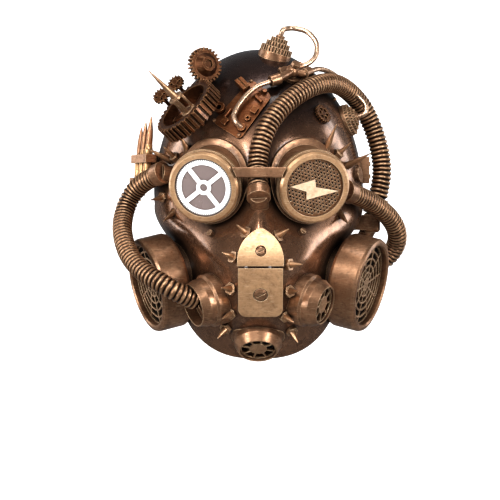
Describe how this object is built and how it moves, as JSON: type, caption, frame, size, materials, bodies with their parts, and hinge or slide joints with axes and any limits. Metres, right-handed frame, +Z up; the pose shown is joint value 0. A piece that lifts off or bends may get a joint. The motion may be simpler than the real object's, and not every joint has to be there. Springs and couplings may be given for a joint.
{
  "type": "steampunk gas mask",
  "caption": "Rigid full-face costume gas mask with round goggles, twisting side filter canisters, corrugated hoses, spikes and loose gear wheels.",
  "frame": {"origin": "middle of the opening that the head goes into, level with the ears", "axes": "+Z up, the face looks along -Y, +X is the wearer's left"},
  "size_m": [0.2329, 0.2334, 0.2621],
  "materials": {
    "shell_bronze": "dark bronze paint rubbed with copper, darker in the hollows",
    "aged_bronze": "antique bronze paint over moulded plastic, worn bright on the edges",
    "pale_gold": "pale antique gold paint with dark wash in the corners",
    "hose_bronze": "bronze paint on flexible corrugated hose, dark between the ribs",
    "white_dial": "clean white print on thin sheet",
    "smoked_lens": "glossy dark lens",
    "mesh_bronze": "painted perforated sheet",
    "valve_rubber": "soft matt flap",
    "filter_media": "dark felt",
    "brass_case": "brass-coloured paint, satin",
    "copper_tip": "copper-coloured paint, satin",
    "elastic": "black woven elastic",
    "buckle_plastic": "black moulded plastic",
    "foam": "dark closed-cell foam with a fabric face"
  },
  "bodies": {
    "mask": {"canister_necks": "aged_bronze", "cartridge_belt": "aged_bronze", "cartridge_cases": "brass_case", "cartridge_tips": "copper_tip", "crown_gear_stack": "aged_bronze", "crown_pipe": "aged_bronze", "exhale_valves": "valve_rubber", "fixing_screws": "aged_bronze", "forehead_gear": "aged_bronze", "forehead_pad": "foam", "gear_dial_left": "white_dial", "goggle_bezel_left": "pale_gold", "goggle_bezel_right": "pale_gold", "goggle_bridge": "pale_gold", "goggle_cup_left": "aged_bronze", "goggle_cup_right": "aged_bronze", "goggle_spikes": "pale_gold", "head_strap": "elastic", "hose_brow": "hose_bronze", "hose_cheek_right": "hose_bronze", "hose_chin_left": "hose_bronze", "hose_junction_right": "aged_bronze", "hose_ports": "aged_bronze", "lens_left": "smoked_lens", "lens_right": "smoked_lens", "lightning_plate_right": "pale_gold", "machine_plate": "aged_bronze", "mask_shell": "shell_bronze", "mesh_screen_right": "mesh_bronze", "muzzle_spikes": "pale_gold", "nose_plate_lower": "pale_gold", "nose_plate_upper": "pale_gold", "outlet_body_chin": "aged_bronze", "outlet_body_left": "aged_bronze", "outlet_body_right": "aged_bronze", "outlet_grilles": "pale_gold", "pipe_manifold": "aged_bronze", "plate_machinery": "aged_bronze", "plate_pipe": "aged_bronze", "rivets": "aged_bronze", "small_gear_pins": "aged_bronze", "strap_anchors": "aged_bronze", "temple_boss_right": "aged_bronze", "temple_gear_stack": "aged_bronze", "temple_pads": "foam", "temple_pipe": "aged_bronze", "top_gear_bracket": "aged_bronze", "wheel_axle": "aged_bronze"},
    "canister_left": {"canister_shell_left": "aged_bronze", "filter_disc_left": "filter_media", "canister_web_left": "pale_gold"},
    "canister_right": {"canister_shell_right": "aged_bronze", "filter_disc_right": "filter_media", "canister_web_right": "pale_gold"},
    "big_wheel": {"big_wheel": "aged_bronze", "hub_spike": "pale_gold"},
    "top_gear": {"top_gear": "aged_bronze"},
    "small_gear_outer": {"small_gear_outer": "aged_bronze"},
    "small_gear_upper": {"small_gear_upper": "aged_bronze"},
    "strap_slider": {"strap_slider": "buckle_plastic"}
  },
  "joints": [
    {"name": "canister_right_twist", "type": "hinge", "parent": "mask", "child": "canister_right", "pos_m": [0.0654, -0.0409, -0.0603], "axis": [0.9028, -0.3659, -0.226], "range_deg": [0, 45]},
    {"name": "canister_left_twist", "type": "hinge", "parent": "mask", "child": "canister_left", "pos_m": [-0.0654, -0.0409, -0.0603], "axis": [-0.9028, -0.3659, -0.226], "range_deg": [0, 45]},
    {"name": "big_wheel_spin", "type": "hinge", "parent": "mask", "child": "big_wheel", "pos_m": [-0.04942, -0.07356, 0.06444], "axis": [-0.66, -0.39, 0.642], "continuous": true},
    {"name": "top_gear_spin", "type": "hinge", "parent": "mask", "child": "top_gear", "pos_m": [-0.0432, -0.056, 0.1044], "axis": [0.5033, -0.8556, 0.1208], "continuous": true},
    {"name": "small_gear_outer_spin", "type": "hinge", "parent": "mask", "child": "small_gear_outer", "pos_m": [-0.0756, -0.038, 0.0816], "axis": [-0.3999, -0.8198, 0.4099], "continuous": true},
    {"name": "small_gear_upper_spin", "type": "hinge", "parent": "mask", "child": "small_gear_upper", "pos_m": [-0.0638, -0.043, 0.0912], "axis": [-0.3999, -0.8198, 0.4099], "continuous": true},
    {"name": "strap_slider_slide", "type": "slide", "parent": "mask", "child": "strap_slider", "axis": [0, 1, 0], "range_m": [0, 0.021]}
  ]
}
